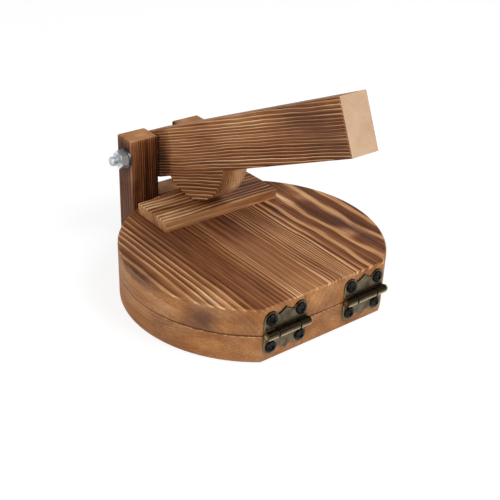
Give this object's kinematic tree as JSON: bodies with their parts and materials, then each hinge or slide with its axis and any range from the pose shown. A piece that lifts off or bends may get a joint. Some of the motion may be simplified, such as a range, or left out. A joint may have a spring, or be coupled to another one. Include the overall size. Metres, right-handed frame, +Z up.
{
  "type": "dumpling wrapper press",
  "caption": "Lever press in scorched pine: hinged round boards flatten dough when a cam under the lever bears on a pad.",
  "frame": {"origin": "centre of the round boards, on the table", "axes": "+X along the hinged edge to the right, +Y from the hinges back to the posts, +Z up"},
  "size_m": [0.15, 0.1806, 0.1377],
  "materials": {
    "scorched_board": "torched and brushed pine, oiled",
    "scorched_post": "heavily torched pine, oiled",
    "scorched_lever": "torched and brushed pine with a bare sawn end",
    "plain_dowel": "plain beech",
    "zinc_steel": "bright zinc plating",
    "bronzed_hinge": "dark bronze plating, rubbed bright on its edges",
    "blackened_screw": "blackened steel, burnished"
  },
  "bodies": {
    "base": {"lower_board_left_stave": "scorched_board", "lower_board_right_stave": "scorched_board", "left_post": "scorched_post", "right_post": "scorched_post", "post_spacer": "scorched_post", "cross_dowels": "plain_dowel", "pivot_bolt": "zinc_steel", "pivot_nut": "zinc_steel", "left_washer": "zinc_steel", "right_washer": "zinc_steel", "left_hinge_lower_leaf": "bronzed_hinge", "right_hinge_lower_leaf": "bronzed_hinge", "left_hinge_pin": "bronzed_hinge", "right_hinge_pin": "bronzed_hinge", "left_hinge_lower_screws": "blackened_screw", "right_hinge_lower_screws": "blackened_screw"},
    "upper_board": {"upper_board_left_stave": "scorched_board", "upper_board_right_stave": "scorched_board", "pressure_pad": "scorched_board", "left_hinge_upper_leaf": "bronzed_hinge", "right_hinge_upper_leaf": "bronzed_hinge", "left_hinge_upper_screws": "blackened_screw", "right_hinge_upper_screws": "blackened_screw"},
    "lever": {"lever": "scorched_lever"}
  },
  "joints": [
    {"name": "lever_lift", "type": "hinge", "parent": "base", "child": "lever", "pos_m": [0, 0.0864, 0.05527], "axis": [-1, 0, 0], "range_deg": [0, 160]},
    {"name": "board_open", "type": "hinge", "parent": "base", "child": "upper_board", "pos_m": [0, -0.06507, 0.017], "axis": [1, 0, 0], "range_deg": [0, 12]}
  ],
  "couplings": [
    {"joint": "board_open", "follows": "lever_lift", "ratio": 0.075}
  ]
}
